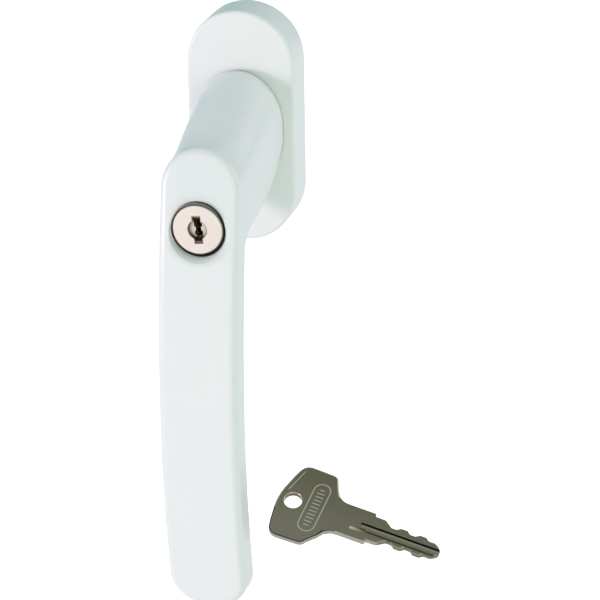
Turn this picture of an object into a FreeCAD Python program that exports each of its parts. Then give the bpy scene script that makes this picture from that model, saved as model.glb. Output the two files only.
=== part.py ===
"""Locking window handle: bowed grip on a sloping neck, stadium rosette, key lock that shoots a bolt
from the neck into the rosette, and the loose key.

Millimetres. The origin is on the spindle axis, in the plane of the rosette's back face. +Z is up,
+X is to the right and -Y points into the room. A distance called _out is measured from the back
face towards the room, so a point at out = 12 has Y = -12. The handle hangs down: window closed.
"""
import FreeCAD, Part
import math
import os

V = FreeCAD.Vector

# Rosette cover and the base behind it
rosette_width = 32.6
rosette_height = 71.0
rosette_depth = 12.0
rosette_wall = 1.6
rosette_roof = 1.8
rosette_edge = 1.0
base_gap = 0.15
snap_length = 12.0
snap_rise = 0.45
snap_clearance = 0.12
pocket_wall = 1.7
pocket_floor = 3.0

# Fixing to the window frame
screw_spacing = 43.0
spigot_radius = 5.0
spigot_length = 5.5
screw_radius = 2.5
screw_hole_clearance = 0.3
screw_head_radius = 4.6
screw_head_height = 2.9
screw_seat_out = 4.0
screw_length = 25.0
screw_shank_radius = 2.24
screw_thread_start = spigot_length + 0.2

# Spindle
spindle_side = 7.0
spindle_clearance = 0.05
spindle_inside = 23.0
spindle_beyond = 32.0
spindle_chamfer = 0.8
cross_pin_radius = 1.25
cross_pin_out = 9.3

# Boss of the handle, the bush it turns in and the stack behind it
neck_gap = 0.3
stub_wall = 3.1
stub_radius = spindle_side / 2 + stub_wall
stub_flats = spindle_side + 4.0
boss_step = 1.9
boss_radius = stub_radius + boss_step
boss_length = 5.9
running_gap = 0.05
bush_wall = 1.3
roof_hole_clearance = 0.4
stub_end_out = 0.25
bush_ledge = 0.65
ledge_reach = 0.9
index_wall = 1.6
index_side = 2 * (stub_radius + index_wall)
index_corner = 3.0
index_thickness = 2.8
stack_gap = 0.25
spring_strip = 0.8
spring_gap = 0.06
spring_travel = 2.4
plate_thickness = 1.2
disc_thickness = 0.35
disc_rise = 0.3
ring_thickness = 0.7
ring_groove = 0.6
ring_width = 2.3

# Grip: a bar of steady depth, bowed towards the room
grip_width = 23.8
grip_depth = 12.5
grip_top_centre = -5.5
grip_bottom = -137.4
grip_end_height = 10.6
grip_front_out = 61.7
bow_apex = -78.0
bow_upper_radius = 360.0
bow_lower_radius = 250.0
grip_front_round = 2.2
grip_back_round = 5.0

# Neck: share of its length, then centre and height of its upper and of its lower half oval
neck_flare = 1.1
neck_half_width = grip_width / 2 + neck_flare
neck_end_inset = 0.3
neck_stations = [
    (0.00, 1.4, 15.95, -1.6, 16.1),
    (0.08, 2.3, 15.6, -4.1, 16.2),
    (0.21, 1.5, 15.3, -8.2, 14.3),
    (0.48, -0.9, 14.3, -12.3, 14.0),
    (0.76, -3.9, 12.9, -15.0, 13.9),
    (0.92, -5.2, 12.2, -19.0, 13.5),
    (1.00, -5.6, 11.9, -22.0, 13.0),
]
neck_sink = 0.2

# Lock barrel
lock_drop = 16.35
lock_sink = 5.35
lock_face_out = grip_front_out - lock_sink
plug_radius = 5.5
plug_gap = 0.05
housing_wall = 1.45
housing_radius = plug_radius + plug_gap + housing_wall
housing_gap = 0.05
bezel_wall = 0.3
bezel_rim = 1.05
bezel_radius = housing_radius + bezel_rim
bezel_depth = 3.6
bezel_round = 0.12
dish_gap = 0.3
dish_inner_radius = bezel_radius + dish_gap
dish_flare = 1.95
dish_outer_radius = dish_inner_radius + dish_flare
dish_depth = 2.6
plug_end_wall = 0.4
key_end_room = 0.15
cap_play = 0.09
cap_radius = bezel_radius - bezel_wall - cap_play
cap_rise = 0.12
cap_chamfer = 0.42
cap_thickness = 0.7
cap_gap = 0.1
plug_lean = 5.5
key_circle_radius = 2.95
key_slot_play = 0.6
key_slot_height = 8.4
keyway_play = 0.4
keyway_room = 0.5
ward_gap = 0.15
wafer_count = 5
wafer_pitch = 3.1
wafer_first = 2.45
wafer_width = 5.2
wafer_thickness = 0.9
wafer_clearance = 0.08
wafer_side_gap = 0.1
wafer_travel = 0.6
lug_reach = 1.6
lug_height = 1.2
wafer_spring_wire = 0.16
wafer_spring_turns = 3
tail_play = 0.42
tail_length = 1.8
clip_thickness = 0.6
clip_groove = 0.6
clip_reach = 0.7
clip_radius = plug_radius + clip_reach
drive_side = 3.0
drive_length = 3.0

# Barrel cam, its follower and the bolt
cam_wall = 2.1
cam_radius = drive_side / 2 + cam_wall
cam_gap = 0.05
cam_margin = 1.4
cam_screw_radius = 1.0
cam_screw_head = 1.75
cam_screw_head_height = 0.9
bolt_travel = 4.0
bolt_turn = 90.0
groove_half_width = 0.95
groove_depth = 0.95
follower_radius = 0.6
follower_room = 0.22
carrier_wall = 0.9
carrier_gap = 0.12
carrier_floor = 1.8
carrier_rib = 1.6
carrier_rib_rise = 0.8
chamber_gap = 0.2
bolt_radius = 1.5
bolt_web = 4.4
bolt_circle = boss_radius + roof_hole_clearance + bolt_web
bolt_gap = 0.2
bolt_inset = 0.3
grub_radius = 2.0
grub_gap = 0.05
grub_length = 4.6
grub_dimple = 0.4
grub_behind_face = 16.0

# Key: distances along it start at the hole in the bow
key_thickness = 2.0
key_hole_radius = 2.8
bow_back = -4.8
bow_corner = -1.8
bow_skew = 0.65
bow_half_height = 13.5
bow_front = 9.5
bow_waist = 13.6
bow_round = 3.2
shank_start = 15.3
shank_half_height = 5.4
shoulder = 25.6
blade_half_height = 4.35
key_stop = 29.3
key_tip = 48.4
key_cuts = [2.45, 3.35, 2.4, 3.3, 2.4]
cut_flat = 0.85
key_groove_depth = 0.55
key_wards = [(0.0, 1.5, 22.6), (-2.05, 0.8, 19.6)]
key_panel_start = 4.4
key_panel_length = 18.0
key_panel_width = 5.4
key_panel_depth = 0.2
key_place = V(13.78, -11.22, -120.95)
key_bearing = 16.06
key_lean = 32.62
key_turn = -23.77

# Places worked out from the sizes above
half_spacing = screw_spacing / 2
roof_out = rosette_depth - rosette_roof
base_top_out = roof_out - base_gap
base_width = rosette_width - 2 * rosette_wall - 2 * base_gap
base_height = rosette_height - 2 * rosette_wall - 2 * base_gap
neck_start_out = rosette_depth + neck_gap
neck_length = grip_front_out - grip_depth - neck_start_out - neck_sink
boss_end_out = neck_start_out - boss_length
bush_radius = boss_radius + running_gap + bush_wall
index_top_out = boss_end_out - 0.1
index_bottom_out = index_top_out - index_thickness
index_reach = (index_side / 2 - index_corner) * math.sqrt(2) + index_corner
plate_top_out = index_bottom_out - stack_gap
plate_bottom_out = plate_top_out - plate_thickness
cavity_top_out = index_top_out + 0.15
bush_seat_out = cavity_top_out + bush_ledge
cavity_half_width = index_side / 2 + spring_gap + spring_strip + spring_travel
cavity_top = index_reach + 0.4
spring_bridge = index_reach + 0.6
cavity_bottom = spring_bridge + spring_strip + 0.4
disc_top_out = plate_bottom_out - 0.02
grip_radius = grip_width / 2
lock_z = -lock_drop
key_slot_width = key_thickness + key_slot_play
keyway_width = key_thickness + keyway_play
keyway_height = 2 * max(key_cuts) + keyway_room
cap_front_out = lock_face_out + cap_rise
plug_front_out = cap_front_out - cap_thickness
housing_front_out = plug_front_out - cap_gap
keyway_end_out = cap_front_out - (key_tip - key_stop) - key_end_room
plug_back_out = keyway_end_out - plug_end_wall
housing_back_out = plug_back_out - 0.05
clip_top_out = housing_back_out - 0.08
tail_end_out = plug_back_out - tail_length
cam_front_out = tail_end_out - 0.1
follower_out = cam_front_out - cam_margin
cam_end_out = follower_out - bolt_travel - groove_half_width - 1.2
cam_screw_seat = cam_end_out + cam_screw_head_height + 0.3
carrier_inner = cam_radius + carrier_gap
carrier_outer = carrier_inner + carrier_wall
carrier_front_out = follower_out + 1.1
carrier_floor_out = cam_end_out - 0.3
carrier_end_out = carrier_floor_out - carrier_floor
tail_radius = carrier_outer + chamber_gap - tail_play
chamber_front_out = clip_top_out - clip_thickness - 0.4
chamber_end_out = carrier_end_out - bolt_travel - 0.3
bolt_tip_out = neck_start_out + bolt_inset
bolt_hole_floor_out = bolt_tip_out - bolt_travel - 0.4
grub_out = lock_face_out - grub_behind_face


def rod(radius, start, end, x=0.0, z=0.0):
    """Round bar along the spindle direction, between two distances from the back face."""
    return Part.makeCylinder(radius, end - start, V(x, -start, z), V(0, -1, 0))


def block(width, height, start, end, x=0.0, z=0.0):
    """Rectangular bar along the spindle direction, centred on x and z."""
    return Part.makeBox(width, end - start, height, V(x - width / 2, -end, z - height / 2))


def stadium_wire(width, height, out):
    """Upright outline with half-round ends."""
    radius = width / 2
    rise = height / 2 - radius
    y = -out
    right = Part.makeLine(V(radius, y, -rise), V(radius, y, rise))
    top = Part.Arc(V(radius, y, rise), V(0, y, rise + radius), V(-radius, y, rise)).toShape()
    left = Part.makeLine(V(-radius, y, rise), V(-radius, y, -rise))
    bottom = Part.Arc(V(-radius, y, -rise), V(0, y, -rise - radius), V(radius, y, -rise)).toShape()
    return Part.Wire([right, top, left, bottom])


def stadium(width, height, start, end):
    """Bar with the stadium outline."""
    return Part.Face(stadium_wire(width, height, start)).extrude(V(0, start - end, 0))


def rounded_block(width, height, start, end, radius, x=0.0, z=0.0):
    """Rectangular bar whose four long edges are rounded."""
    bar = block(width, height, start, end, x, z)
    edges = [e for e in bar.Edges if abs(e.Vertexes[0].Y - e.Vertexes[1].Y) > 0.5 * (end - start)]
    return bar.makeFillet(radius, edges)


def drum(profile, z=0.0):
    """Turned piece about an axis along the spindle: a closed profile of (radius, out) corners."""
    points = [V(r, -out, z) for r, out in profile]
    wire = Part.makePolygon(points + [points[0]])
    return Part.Face(wire).revolve(V(0, 0, z), V(0, 1, 0), 360)


def cut_gap(ring, width, reach, start, end, z=0.0, below=True):
    """Open a ring at its lowest or highest point."""
    middle = z - reach / 2 if below else z + reach / 2
    return ring.cut(block(width, reach, start, end, 0.0, middle))


def rosette_cover():
    shell = stadium(rosette_width, rosette_height, 0, rosette_depth)
    front = [e for e in shell.Edges if all(abs(v.Y + rosette_depth) < 1e-6 for v in e.Vertexes)]
    shell = shell.makeFillet(rosette_edge, front)
    inside_width = rosette_width - 2 * rosette_wall
    inside_height = rosette_height - 2 * rosette_wall
    shell = shell.cut(stadium(inside_width, inside_height, -1, roof_out))
    shell = shell.cut(rod(boss_radius + roof_hole_clearance, roof_out - 1, rosette_depth + 1))
    for side in (1, -1):
        z = side * bolt_circle
        shell = shell.cut(rod(bolt_radius + bolt_gap, roof_out - 1, rosette_depth + 1, 0, z))
        for wall in (1, -1):
            shell = shell.cut(snap_bead(wall, side, snap_clearance))
    return shell


def snap_bead(wall, side, extra):
    """Half-round bead on the edge of the base, or with extra its groove in the cover."""
    radius = snap_rise + base_gap + extra
    length = snap_length + 2 * extra
    x = wall * (base_width / 2)
    z = side * half_spacing * 0.5
    return Part.makeCylinder(radius, length, V(x, -screw_seat_out * 0.6, z - length / 2), V(0, 0, 1))


def rosette_base():
    body = stadium(base_width, base_height, 0, base_top_out)
    for wall in (1, -1):
        for side in (1, -1):
            body = body.fuse(snap_bead(wall, side, 0.0))
    body = body.cut(rod(bush_radius - ledge_reach, cavity_top_out - 1, base_top_out + 1))
    body = body.cut(rod(bush_radius + running_gap, bush_seat_out, base_top_out + 1))
    cavity_height = cavity_top + cavity_bottom
    cavity_z = (cavity_top - cavity_bottom) / 2
    width = 2 * cavity_half_width
    body = body.cut(rounded_block(width, cavity_height, plate_top_out - 1, cavity_top_out, 2.0, 0, cavity_z))
    body = body.cut(rounded_block(width + 1.6, cavity_height + 1.6, -1, plate_top_out, 2.5, 0, cavity_z))
    for side in (1, -1):
        z = side * half_spacing
        spigot = rod(spigot_radius, -spigot_length, 0.5, 0, z)
        tip = [e for e in spigot.Edges if abs(e.CenterOfMass.y - spigot_length) < 0.01 and e.Length > 20]
        body = body.fuse(spigot.makeChamfer(0.6, tip))
        bolt_hole = rod(bolt_radius + bolt_gap, bolt_hole_floor_out, base_top_out + 1, 0, side * bolt_circle)
        body = body.cut(bolt_hole)
        for flank in (1, -1):
            body = body.cut(base_pocket(flank, side))
    for side in (1, -1):
        z = side * half_spacing
        body = body.cut(rod(screw_radius + screw_hole_clearance, -spigot_length - 1, base_top_out, 0, z))
        seat_radius = screw_head_radius + screw_hole_clearance
        body = body.cut(rod(seat_radius, screw_seat_out, base_top_out + 1, 0, z))
    return body


def base_pocket(flank, side):
    """Lightening pocket beside a screw, open to the front, that leaves even walls."""
    inner = screw_head_radius + screw_hole_clearance + pocket_wall
    outer = base_width / 2 - pocket_wall
    low = cavity_bottom + 0.8 + pocket_wall
    high = half_spacing + screw_head_radius
    width = outer - inner
    pocket = rounded_block(
        width, high - low, pocket_floor, base_top_out + 1, width * 0.3,
        flank * (inner + outer) / 2, side * (low + high) / 2,
    )
    inset_width = base_width - 2 * pocket_wall
    inset_height = base_height - 2 * pocket_wall
    return pocket.common(stadium(inset_width, inset_height, pocket_floor - 1, base_top_out + 2))


def fixing_screws():
    """Two pan-head screws with cross recesses, their plain shanks a little thinner than the thread."""
    screws = []
    for side in (1, -1):
        z = side * half_spacing
        head_top = screw_seat_out + screw_head_height
        head = rod(screw_head_radius, screw_seat_out + 0.02, head_top, 0, z)
        rim = [e for e in head.Edges if abs(e.CenterOfMass.y + head_top) < 0.01 and e.Length > 10]
        head = head.makeFillet(1.2, rim)
        thread = rod(screw_radius, screw_seat_out - screw_length, -screw_thread_start, 0, z)
        tip = [e for e in thread.Edges if e.Length > 10 and e.CenterOfMass.y > screw_length / 2]
        shank = rod(screw_shank_radius, -screw_thread_start - 1, screw_seat_out + 0.5, 0, z)
        screw = head.fuse(shank).fuse(thread.makeChamfer(0.7, tip))
        for turn in (0, 90):
            arm = block(5.0, 0.9, head_top - 1.7, head_top + 1, 0, z)
            arm.rotate(V(0, 0, z), V(0, 1, 0), turn + 12 * side)
            screw = screw.cut(arm)
        screws.append(screw)
    return Part.makeCompound(screws)


def square_spindle():
    bar = block(spindle_side, spindle_side, -spindle_beyond, spindle_inside)
    ends = [e for e in bar.Edges if abs(e.Vertexes[0].Y - e.Vertexes[1].Y) < 1e-6]
    bar = bar.makeChamfer(spindle_chamfer, ends)
    return bar.cut(cross_pin_bar(cross_pin_radius + 0.03, 2 * boss_radius))


def cross_pin_bar(radius, length):
    return Part.makeCylinder(radius, length, V(-length / 2, -cross_pin_out, 0), V(1, 0, 0))


def spindle_pin():
    """Slotted spring pin through the boss and the spindle, kept in by the bush."""
    length = 2 * boss_radius - 0.8
    pin = cross_pin_bar(cross_pin_radius, length)
    pin = pin.cut(cross_pin_bar(cross_pin_radius * 0.55, length + 2))
    slot = Part.makeBox(length + 2, cross_pin_radius * 2, 0.35, V(-length / 2 - 1, -cross_pin_out, -0.175))
    return pin.cut(slot)


def bearing_bush():
    """Plastic ring that the boss turns in."""
    inner = boss_radius + running_gap
    top = base_top_out - 0.05
    bottom = bush_seat_out + 0.02
    return drum([(inner, bottom), (bush_radius, bottom), (bush_radius, top - 0.3), (bush_radius - 0.3, top),
                 (inner + 0.2, top), (inner, top - 0.2)])


def index_cam():
    """Square ring that gives the handle a stop at each quarter turn."""
    ring = rounded_block(index_side, index_side, index_bottom_out, index_top_out, index_corner)
    return ring.cut(stub_bar(0.05, index_bottom_out - 1, index_top_out + 1))


def stub_bar(extra, start, end):
    """Round bar with two flats, at the end of the boss."""
    bar = rod(stub_radius + extra, start, end)
    return bar.common(block(stub_flats + 2 * extra, 4 * stub_radius, start, end))


def detent_spring():
    """U-shaped spring strip whose legs grip two sides of the index cam."""
    inner_width = index_side + 2 * spring_gap
    outer_width = inner_width + 2 * spring_strip
    start = index_bottom_out + 0.2
    end = index_top_out - 0.2
    leg_top = cavity_top - 1.0
    reach = spring_bridge + leg_top
    z = (leg_top - spring_bridge) / 2 + 10
    height = reach + 20
    inside = rounded_block(inner_width, height, start - 1, end + 1, 2.0, 0, z)
    outside = rounded_block(outer_width, height + spring_strip, start, end, 2.8, 0, z - spring_strip / 2)
    strip = outside.cut(inside)
    return strip.cut(block(40, 40, start - 1, end + 1, 0, leg_top + 20))


def thrust_plate():
    """Steel plate that closes the detent chamber behind."""
    height = cavity_top + cavity_bottom + 1.3
    z = (cavity_top - cavity_bottom) / 2
    plate = rounded_block(2 * cavity_half_width + 1.3, height, plate_bottom_out, plate_top_out, 2.4, 0, z)
    return plate.cut(rod(stub_radius + 0.15, plate_bottom_out - 1, plate_top_out + 1))


def disc_spring():
    """Shallow conical spring washer under the retaining ring."""
    inner = stub_radius + 0.15
    outer = stub_radius + 2.8
    top = disc_top_out
    return drum([(inner, top - disc_rise), (outer, top), (outer, top - disc_thickness * 0.7),
                 (inner, top - disc_rise - disc_thickness * 0.7)])


def retaining_ring():
    """Open ring in the groove of the stub."""
    end = disc_top_out - disc_rise - disc_thickness * 0.7 - 0.03
    start = end - ring_thickness
    inner = stub_radius - ring_groove + 0.05
    ring = rod(inner + ring_width, start, end).cut(rod(inner, start - 1, end + 1))
    return cut_gap(ring, inner, 2 * (inner + ring_width), start - 1, end + 1)


def bow_curves(inset):
    """The grip's front line, or with inset a line behind it, from its top end to its bottom end."""
    apex = V(0, -(grip_front_out - inset), bow_apex)
    ends = []
    above = grip_top_centre + grip_radius + 3
    below = grip_bottom - 3
    for radius, z in ((bow_upper_radius, above), (bow_lower_radius, below)):
        r = radius - inset
        half = (z - bow_apex) / 2
        middle = V(0, apex.y + r - math.sqrt(r * r - half * half), bow_apex + half)
        end = V(0, apex.y + r - math.sqrt(r * r - 4 * half * half), z)
        ends.append((middle, end))
    upper = Part.Arc(ends[0][1], ends[0][0], apex).toShape()
    lower = Part.Arc(apex, ends[1][0], ends[1][1]).toShape()
    return upper, lower


def grip_blank():
    """The bowed bar: its side profile met with its front outline, then rounded."""
    front_upper, front_lower = bow_curves(0.0)
    back_upper, back_lower = bow_curves(grip_depth)
    top = Part.makeLine(back_upper.Vertexes[0].Point, front_upper.Vertexes[0].Point)
    bottom = Part.makeLine(front_lower.Vertexes[1].Point, back_lower.Vertexes[1].Point)
    profile = Part.Wire(Part.__sortEdges__([top, front_upper, front_lower, bottom, back_lower, back_upper]))
    slab = Part.Face(profile).extrude(V(2 * grip_width, 0, 0))
    slab.translate(V(-grip_width, 0, 0))
    outline = Part.Face(grip_outline(grip_front_out + 10)).extrude(V(0, grip_front_out, 0))
    bar = slab.common(outline)
    front = [e for e in bar.Edges if on_bow(e, 0.0)]
    bar = bar.makeFillet(grip_front_round, front)
    back = [e for e in bar.Edges if on_bow(e, grip_depth)]
    return bar.makeFillet(grip_back_round, back)


def grip_outline(out):
    """Front outline: a half-round top, straight sides and a slightly flattened round end."""
    y = -out
    r = grip_radius
    top_z = grip_top_centre
    end_z = grip_bottom + grip_end_height
    top = Part.Arc(V(r, y, top_z), V(0, y, top_z + r), V(-r, y, top_z)).toShape()
    left = Part.makeLine(V(-r, y, top_z), V(-r, y, end_z))
    oval = Part.Ellipse(V(r, y, end_z), V(0, y, grip_bottom), V(0, y, end_z))
    start = oval.parameter(V(-r, y, end_z))
    bottom = Part.ArcOfEllipse(oval, start, start + math.pi).toShape()
    if bottom.CenterOfMass.z > end_z:
        bottom = Part.ArcOfEllipse(oval, start - math.pi, start).toShape()
    right = Part.makeLine(V(r, y, end_z), V(r, y, top_z))
    return Part.Wire(Part.__sortEdges__([top, left, bottom, right]))


def on_bow(edge, inset):
    """True for an edge that runs round the front face, or the back face with the depth as inset."""
    middle = edge.valueAt((edge.FirstParameter + edge.LastParameter) / 2)
    for point in [v.Point for v in edge.Vertexes] + [middle]:
        radius = (bow_upper_radius if point.z > bow_apex else bow_lower_radius) - inset
        centre = -(grip_front_out - inset) + radius
        if abs(math.hypot(point.y - centre, point.z - bow_apex) - radius) > 0.01:
            return False
    return abs(middle.x) > 1e-3 or edge.Length > 1


def neck_section(out, half_width, upper_z, upper_height, lower_z, lower_height):
    """One cross-section of the neck: two half ovals with near-straight sides between."""
    points = []
    for i in range(9):
        angle = math.pi * i / 8
        points.append(V(half_width * math.cos(angle), -out, upper_z + upper_height * math.sin(angle)))
    for i in range(9):
        angle = math.pi * (1 + i / 8)
        points.append(V(half_width * math.cos(angle), -out, lower_z + lower_height * math.sin(angle)))
    curve = Part.BSplineCurve()
    curve.interpolate(Points=points, PeriodicFlag=True)
    return Part.Wire(curve.toShape())


def neck_blank():
    """The sloping neck, lofted from the rosette to the back of the grip."""
    end_half_width = grip_radius - neck_end_inset
    sections = []
    for share, upper_z, upper_height, lower_z, lower_height in neck_stations:
        half_width = neck_half_width + (end_half_width - neck_half_width) * share
        out = neck_start_out + neck_length * share
        sections.append(neck_section(out, half_width, upper_z, upper_height, lower_z, lower_height))
    return Part.makeLoft(sections, True, False)


def handle_body():
    """Neck, grip and boss in one casting, with the bores for spindle, lock and bolt."""
    body = neck_blank().fuse(grip_blank())
    body = body.fuse(rod(boss_radius, boss_end_out, neck_start_out + 2))
    body = body.fuse(stub_bar(0.0, stub_end_out, boss_end_out + 1))
    ring_end = disc_top_out - disc_rise - disc_thickness * 0.7 - 0.01
    groove = rod(stub_radius + 2, ring_end - ring_thickness - 0.06, ring_end)
    body = body.cut(groove.cut(rod(stub_radius - ring_groove, 0, boss_end_out)))
    side = spindle_side + 2 * spindle_clearance
    body = body.cut(block(side, side, -1, spindle_inside + 0.5))
    body = body.cut(cross_pin_bar(cross_pin_radius + 0.03, 2 * boss_radius + 1))
    bezel_floor = lock_face_out - bezel_depth - 0.05
    body = body.cut(rod(bezel_radius + 0.04, bezel_floor, lock_face_out + 10, 0, lock_z))
    body = body.cut(lock_dish())
    body = body.cut(rod(housing_radius + housing_gap, chamber_front_out, lock_face_out, 0, lock_z))
    body = body.cut(rod(carrier_outer + chamber_gap, chamber_end_out, lock_face_out - 5, 0, lock_z))
    body = body.cut(carrier_key(chamber_gap, chamber_end_out, chamber_front_out))
    body = body.cut(rod(bolt_radius + bolt_gap, neck_start_out - 1, chamber_end_out + 1, 0, -bolt_circle))
    return body.cut(grub_bar(grub_radius + grub_gap, grip_width))


def lock_dish():
    """Sunk cone that leaves a crescent below the lock, where the grip bows out past it."""
    floor = V(0, -(lock_face_out - 0.3), lock_z)
    return Part.makeCone(dish_inner_radius, dish_outer_radius, dish_depth, floor, V(0, -1, 0))


def carrier_key(extra, start, end):
    """Rib under the carrier, or with extra the groove that keeps it from turning."""
    rise = carrier_rib_rise + extra + 1.0
    z = lock_z - carrier_outer - carrier_rib_rise - extra + rise / 2
    return block(carrier_rib + 2 * extra, rise, start, end, 0, z)


def grub_bar(radius, length):
    tip = lock_z - housing_radius + grub_dimple
    return Part.makeCylinder(radius, length, V(0, -grub_out, tip), V(0, 0, -1))


def lock_grub_screw():
    """Set screw with a hexagon socket, up through the neck into a dimple of the housing."""
    tip = lock_z - housing_radius + grub_dimple
    screw = grub_bar(grub_radius, grub_length)
    rims = [e for e in screw.Edges if e.Length > 2 * grub_radius * 3 and e.Closed]
    screw = screw.makeChamfer(0.3, rims)
    corners = []
    for i in range(7):
        angle = math.radians(60 * i)
        corners.append(V(1.15 * math.cos(angle), -grub_out + 1.15 * math.sin(angle), tip - grub_length - 1))
    socket = Part.Face(Part.makePolygon(corners)).extrude(V(0, 0, 3.2))
    return screw.cut(socket)


def lock_bezel():
    """Bright ring round the lock, with a thin lip round the cap."""
    inner = bezel_radius - bezel_wall
    hub = housing_radius + 0.03
    back = lock_face_out - bezel_depth
    step = housing_front_out - 0.05
    return drum([
        (hub, back), (bezel_radius, back), (bezel_radius, lock_face_out - bezel_round),
        (bezel_radius - bezel_round, lock_face_out), (inner, lock_face_out), (inner, step), (hub, step),
    ], lock_z)


def leaned(shape):
    """The barrel is fitted a few degrees anticlockwise, as its key slot shows."""
    shape.rotate(V(0, 0, lock_z), V(0, -1, 0), plug_lean)
    return shape


def lock_housing():
    """Barrel round the plug, with a groove for the wafers at each key position."""
    barrel = rod(housing_radius, housing_back_out, housing_front_out, 0, lock_z)
    barrel = barrel.cut(rod(plug_radius + plug_gap, housing_back_out - 1, housing_front_out + 1, 0, lock_z))
    width = wafer_width + 0.3
    reach = plug_radius + wafer_travel + 0.25
    front = housing_front_out - 1.0
    back = plug_front_out - wafer_first - wafer_pitch * (wafer_count - 1) - 1.2
    barrel = barrel.cut(block(width, reach, back, front, 0, lock_z + reach / 2))
    barrel = leaned(barrel.cut(block(reach, width, back, front, reach / 2, lock_z)))
    dimple = Part.makeCone(
        grub_radius, grub_radius + 0.1, grub_dimple + 0.05,
        V(0, -grub_out, lock_z - housing_radius + grub_dimple + 0.05), V(0, 0, -1),
    )
    return barrel.cut(dimple)


def wafer_out(index):
    return plug_front_out - wafer_first - wafer_pitch * index


def lock_plug():
    """Brass plug with a warded keyway, wafer slots, clip groove and square drive."""
    plug = rod(plug_radius, plug_back_out, plug_front_out, 0, lock_z)
    tail = rod(tail_radius, tail_end_out, plug_back_out + 0.5, 0, lock_z)
    drive_end_out = tail_end_out - drive_length
    drive = block(drive_side, drive_side, drive_end_out, tail_end_out + 0.5, 0, lock_z)
    plug = plug.fuse(tail).fuse(drive)
    groove_top = clip_top_out + 0.03
    groove = rod(plug_radius + 1, groove_top - clip_thickness - 0.06, groove_top, 0, lock_z)
    plug = plug.cut(groove.cut(rod(tail_radius - clip_groove, tail_end_out, plug_back_out, 0, lock_z)))
    plug = plug.cut(rod(key_circle_radius, plug_front_out - 0.5, plug_front_out + 1, 0, lock_z))
    keyway = block(keyway_width, keyway_height, keyway_end_out, plug_front_out + 1, 0, lock_z)
    for ward, width, groove_start in key_wards:
        depth = key_groove_depth - ward_gap
        for side in (1, -1):
            rib = block(
                depth, width - 2 * ward_gap, keyway_end_out - 1, plug_front_out - 0.5,
                side * (keyway_width - depth) / 2, lock_z - side * ward,
            )
            keyway = keyway.cut(rib)
    plug = plug.cut(keyway)
    plug = plug.cut(rod(cam_screw_radius + 0.02, drive_end_out - 1, tail_end_out - 0.4, 0, lock_z))
    half = wafer_thickness / 2 + wafer_clearance
    for index in range(wafer_count):
        out = wafer_out(index)
        slot_width = wafer_width + 2 * wafer_side_gap
        plug = plug.cut(block(slot_width, 3 * plug_radius, out - half, out + half, 0, lock_z))
        plug = plug.cut(lug_block(out - half, out + half, 0.15, wafer_travel + 0.15))
    return leaned(plug)


def lug_block(start, end, extra, above):
    """Room beside a wafer for its lug and the spring under it."""
    low = lock_z - 1.7
    high = lock_z + 0.9 + lug_height + above
    reach = wafer_width / 2 + lug_reach + extra
    return Part.makeBox(reach, end - start, high - low, V(0, -end, low))


def wafers():
    """Flat wafers, drawn where the key holds them, flush with the plug."""
    plates = []
    for index, cut in enumerate(key_cuts):
        out = wafer_out(index)
        start = out - wafer_thickness / 2
        end = out + wafer_thickness / 2
        plate = block(wafer_width, 2 * plug_radius, start, end, 0, lock_z)
        low = lock_z + 0.9
        lug = Part.makeBox(wafer_width / 2 + lug_reach, end - start, lug_height, V(0, -end, low))
        plate = plate.fuse(lug).common(rod(plug_radius - 0.06, start - 1, end + 1, 0, lock_z))
        window = block(keyway_width + 0.3, 2 * cut + 0.2, start - 1, end + 1, 0, lock_z)
        plates.append(plate.cut(window).removeSplitter())
    return leaned(Part.makeCompound(plates))


def coil(radius, wire, height, turns, foot):
    """Small compression spring of square wire, along Z from its foot."""
    path = Part.makeHelix(height / turns, height, radius)
    half = wire / 2
    corners = [V(radius - half, 0, -half), V(radius + half, 0, -half),
               V(radius + half, 0, half), V(radius - half, 0, half)]
    profile = Part.makePolygon(corners + [corners[0]])
    spring = Part.Wire(path).makePipeShell([profile], True, True)
    spring.translate(foot)
    return spring


def wafer_springs():
    """One coil spring under the lug of each wafer."""
    springs = []
    radius = wafer_thickness / 2 - wafer_spring_wire / 2
    x = wafer_width / 2 + lug_reach / 2 + 0.1
    low = lock_z - 1.7 + wafer_spring_wire / 2 + 0.03
    high = lock_z + 0.9 - wafer_spring_wire / 2 - 0.05
    for index in range(wafer_count):
        foot = V(x, -wafer_out(index), low)
        springs.append(coil(radius, wafer_spring_wire, high - low, wafer_spring_turns, foot))
    return leaned(Part.makeCompound(springs))


def plug_cap():
    """Satin disc fixed on the plug, with the round key recess and the slot through it."""
    back = plug_front_out
    disc = drum([(0.0, back), (cap_radius, back), (cap_radius, cap_front_out - cap_chamfer),
                 (cap_radius - cap_chamfer, cap_front_out), (0.0, cap_front_out)], lock_z)
    disc = disc.cut(rod(key_circle_radius, back - 1, cap_front_out + 1, 0, lock_z))
    slot = block(key_slot_width, key_slot_height, back - 1, cap_front_out + 1, 0, lock_z)
    return leaned(disc.cut(slot))


def plug_clip():
    """Open ring that keeps the plug in the housing."""
    start = clip_top_out - clip_thickness
    inner = tail_radius - clip_groove + 0.04
    ring = rod(clip_radius, start, clip_top_out, 0, lock_z)
    ring = ring.cut(rod(inner, start - 1, clip_top_out + 1, 0, lock_z))
    return cut_gap(ring, inner * 1.4, 2 * clip_radius, start - 1, clip_top_out + 1, lock_z)


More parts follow.
